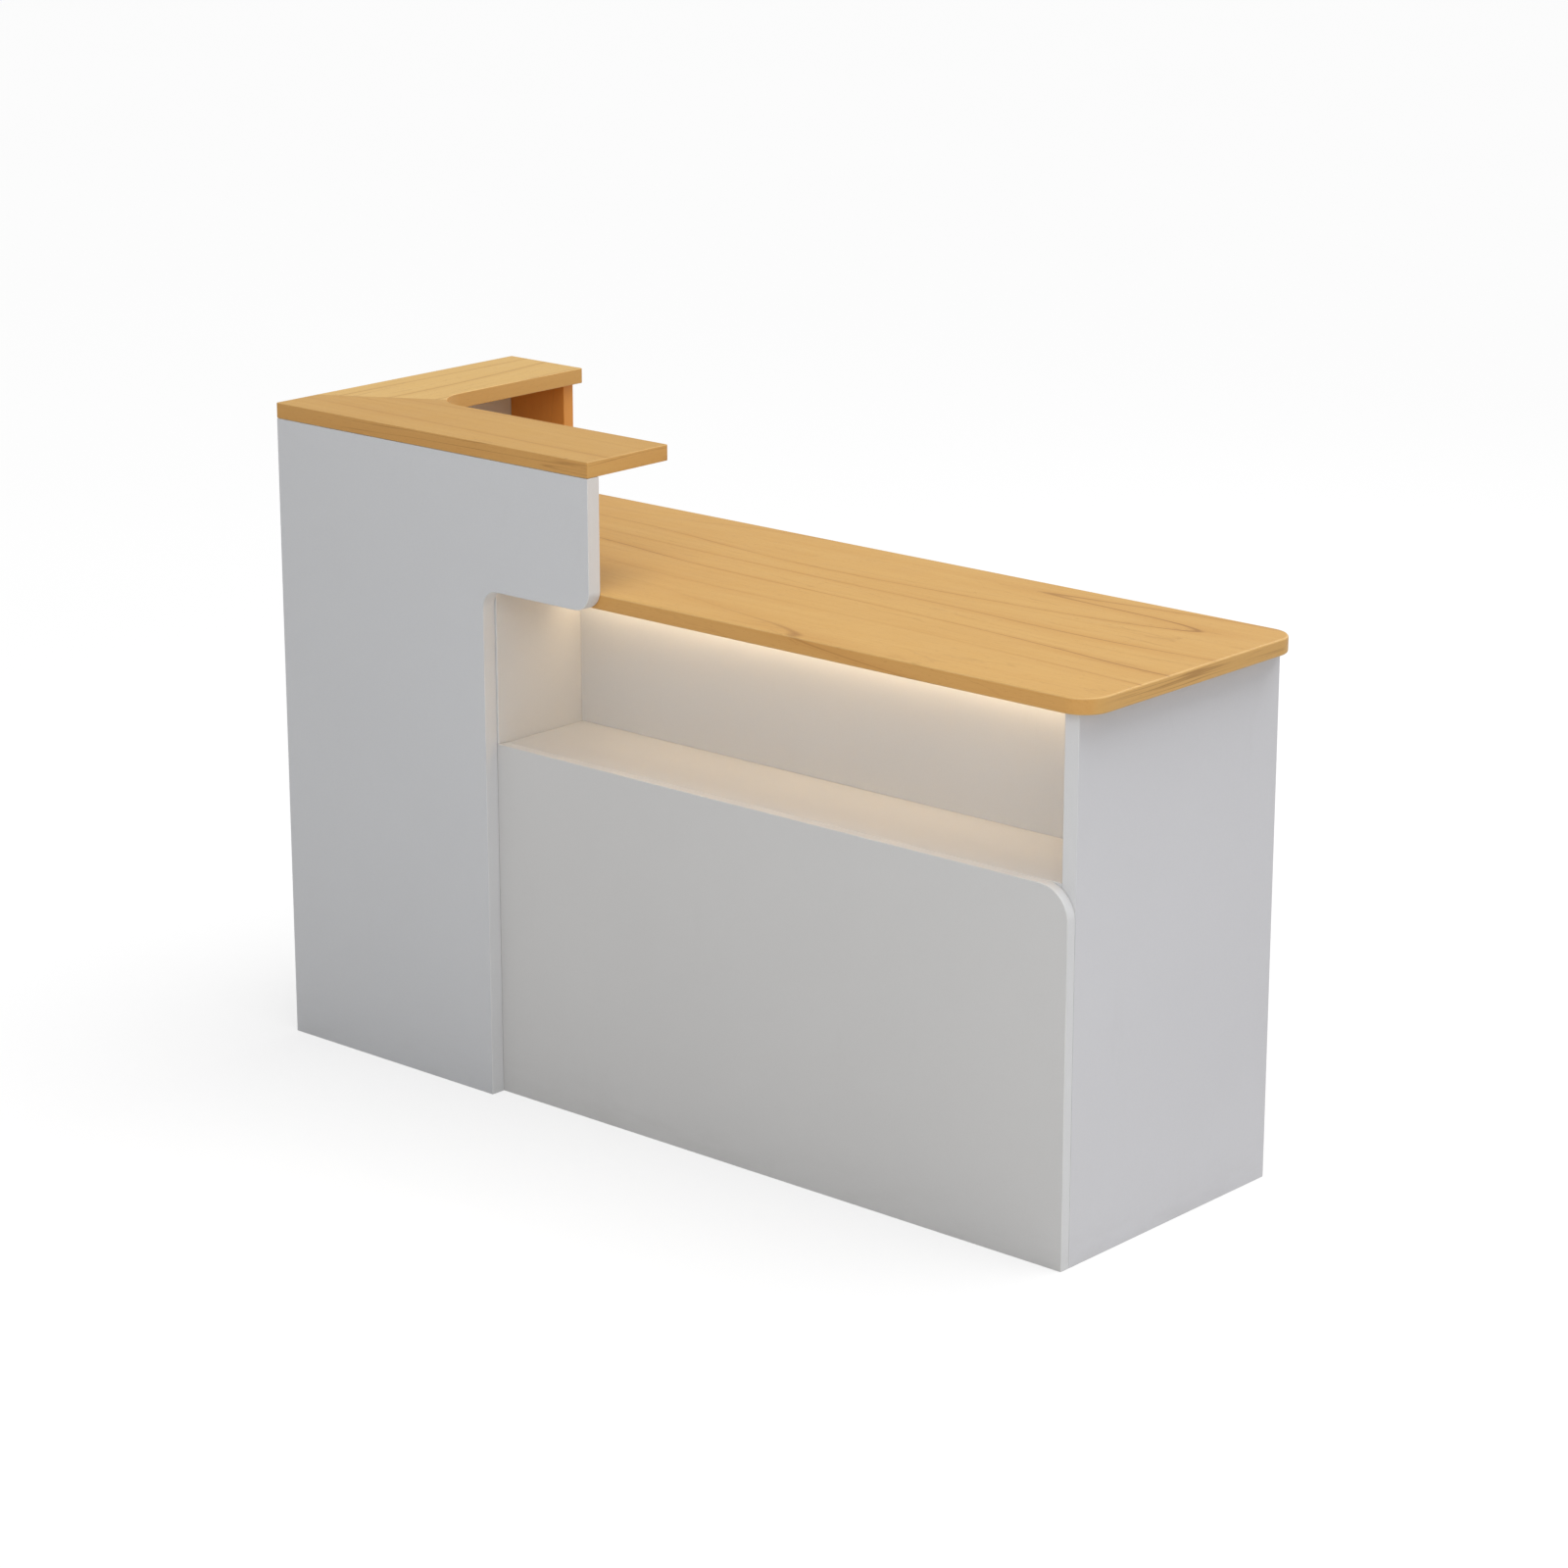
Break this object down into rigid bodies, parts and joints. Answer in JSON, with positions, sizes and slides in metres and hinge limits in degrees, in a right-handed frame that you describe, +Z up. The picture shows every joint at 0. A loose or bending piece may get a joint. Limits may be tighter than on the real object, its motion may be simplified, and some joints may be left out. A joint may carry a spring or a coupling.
{
  "type": "checkout counter",
  "caption": "Reception-style checkout counter with raised L-shaped ledge, lower worktop, lit display niche in front, and a staff side with till drawer, lockable front, cabinet and shelves.",
  "frame": {"origin": "on the floor under the centre of the bounding box", "axes": "+X along the length towards the low end, -Y towards the customers, +Y towards the staff, +Z up"},
  "size_m": [1.6, 0.525, 1.05],
  "materials": {
    "beech_top": "beech-look laminate, satin, grain along the length",
    "beech_end": "beech-look laminate, satin",
    "white_board": "white melamine-faced board with matching edge band",
    "steel": "zinc-plated steel",
    "handle_steel": "brushed nickel",
    "aluminium": "satin anodised",
    "white_plastic": "moulded, satin",
    "grey_plastic": "moulded, fine texture",
    "black_plastic": "moulded, semi-gloss",
    "diffuser": "opal diffuser, lit warm white"
  },
  "bodies": {
    "carcass": {"cabinet_shelf": "white_board", "cable_grommet": "grey_plastic", "catch_body": "white_plastic", "drawer_deck": "white_board", "led_channel": "aluminium", "led_diffuser": "diffuser", "led_driver": "white_plastic", "led_lead": "white_plastic", "led_strip": "white_plastic", "ledge_bracket_1": "steel", "ledge_bracket_2": "steel", "ledge_top": "beech_top", "left_bottom_panel": "white_board", "left_plinth": "white_board", "left_side_panel": "white_board", "low_front_panel": "white_board", "lower_partition": "white_board", "lower_pivot": "steel", "middle_shelf": "white_board", "middle_shelf_pin_1": "steel", "middle_shelf_pin_2": "steel", "middle_shelf_pin_3": "steel", "middle_shelf_pin_4": "steel", "niche_back_wall": "white_board", "niche_deck": "white_board", "niche_divider": "white_board", "right_bottom_panel": "white_board", "right_plinth": "white_board", "right_shelf": "white_board", "right_shelf_pin_1": "steel", "right_shelf_pin_2": "steel", "right_shelf_pin_3": "steel", "right_shelf_pin_4": "steel", "right_side_panel": "white_board", "runner_cabinet_left": "steel", "runner_cabinet_right": "steel", "switch_housing": "white_plastic", "switch_lead": "white_plastic", "tall_front_panel": "white_board", "top_rail": "white_board", "upper_partition": "white_board", "upper_pivot": "steel", "wing_end_panel": "beech_end", "worktop": "beech_top"},
    "till_drawer": {"till_drawer_box": "white_board", "till_drawer_front": "white_board", "till_drawer_handle": "handle_steel", "lock_housing": "steel", "runner_drawer_left": "steel", "runner_drawer_right": "steel"},
    "runner_middles": {"runner_middle_left": "steel", "runner_middle_right": "steel"},
    "drawer_lock": {"lock_barrel": "steel", "lock_cam": "steel"},
    "door": {"cabinet_door": "white_board", "door_handle": "handle_steel", "catch_plate": "steel", "lower_bush": "grey_plastic", "upper_bush": "grey_plastic"},
    "light_switch": {"switch_rocker": "black_plastic"}
  },
  "joints": [
    {"name": "till_drawer_slide", "type": "slide", "parent": "carcass", "child": "till_drawer", "axis": [0, 1, 0], "range_m": [0, 0.36]},
    {"name": "runner_slide", "type": "slide", "parent": "carcass", "child": "runner_middles", "axis": [0, 1, 0], "range_m": [0, 0.18]},
    {"name": "lock_turn", "type": "hinge", "parent": "till_drawer", "child": "drawer_lock", "pos_m": [-0.5675, 0.2255, 0.772], "axis": [0, 1, 0], "range_deg": [0, 90]},
    {"name": "door_swing", "type": "hinge", "parent": "carcass", "child": "door", "pos_m": [-0.7597, 0.2165, 0.082], "axis": [0, 0, 1], "range_deg": [0, 95]},
    {"name": "switch_rock", "type": "hinge", "parent": "carcass", "child": "light_switch", "pos_m": [0.3225, 0.2205, 0.8072], "axis": [1, 0, 0], "range_deg": [0, 14]}
  ],
  "couplings": [
    {"joint": "runner_slide", "follows": "till_drawer_slide", "ratio": 0.5}
  ]
}
